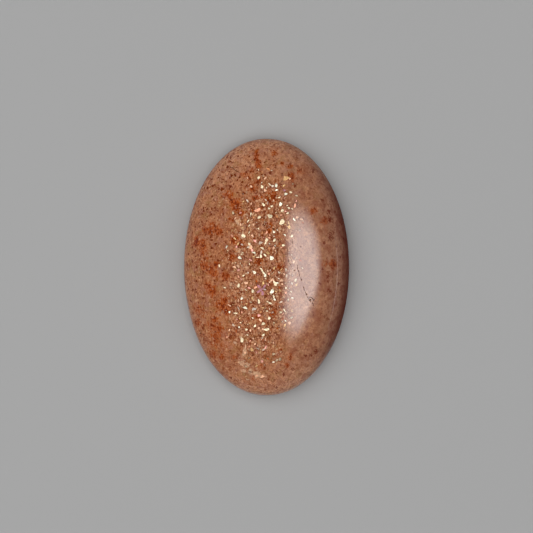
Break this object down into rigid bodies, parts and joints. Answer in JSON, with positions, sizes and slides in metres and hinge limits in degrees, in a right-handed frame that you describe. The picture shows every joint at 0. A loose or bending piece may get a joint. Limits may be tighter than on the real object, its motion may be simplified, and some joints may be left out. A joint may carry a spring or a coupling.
{
  "type": "sunstone cabochon",
  "caption": "Oval cabochon of polished sunstone, with a smooth high dome, a low girdle and a flat back that a bezel cup or any level surface takes.",
  "frame": {"origin": "centre of the flat back, at the middle of the oval", "axes": "+Z out of the top of the dome, +Y along the long axis of the oval, +X across it"},
  "size_m": [0.018, 0.028, 0.0065],
  "materials": {
    "sunstone": "polished, slightly translucent peach brown feldspar with dark specks and glittering platelets"
  },
  "bodies": {
    "root": {"cabochon": "sunstone"}
  },
  "joints": []
}
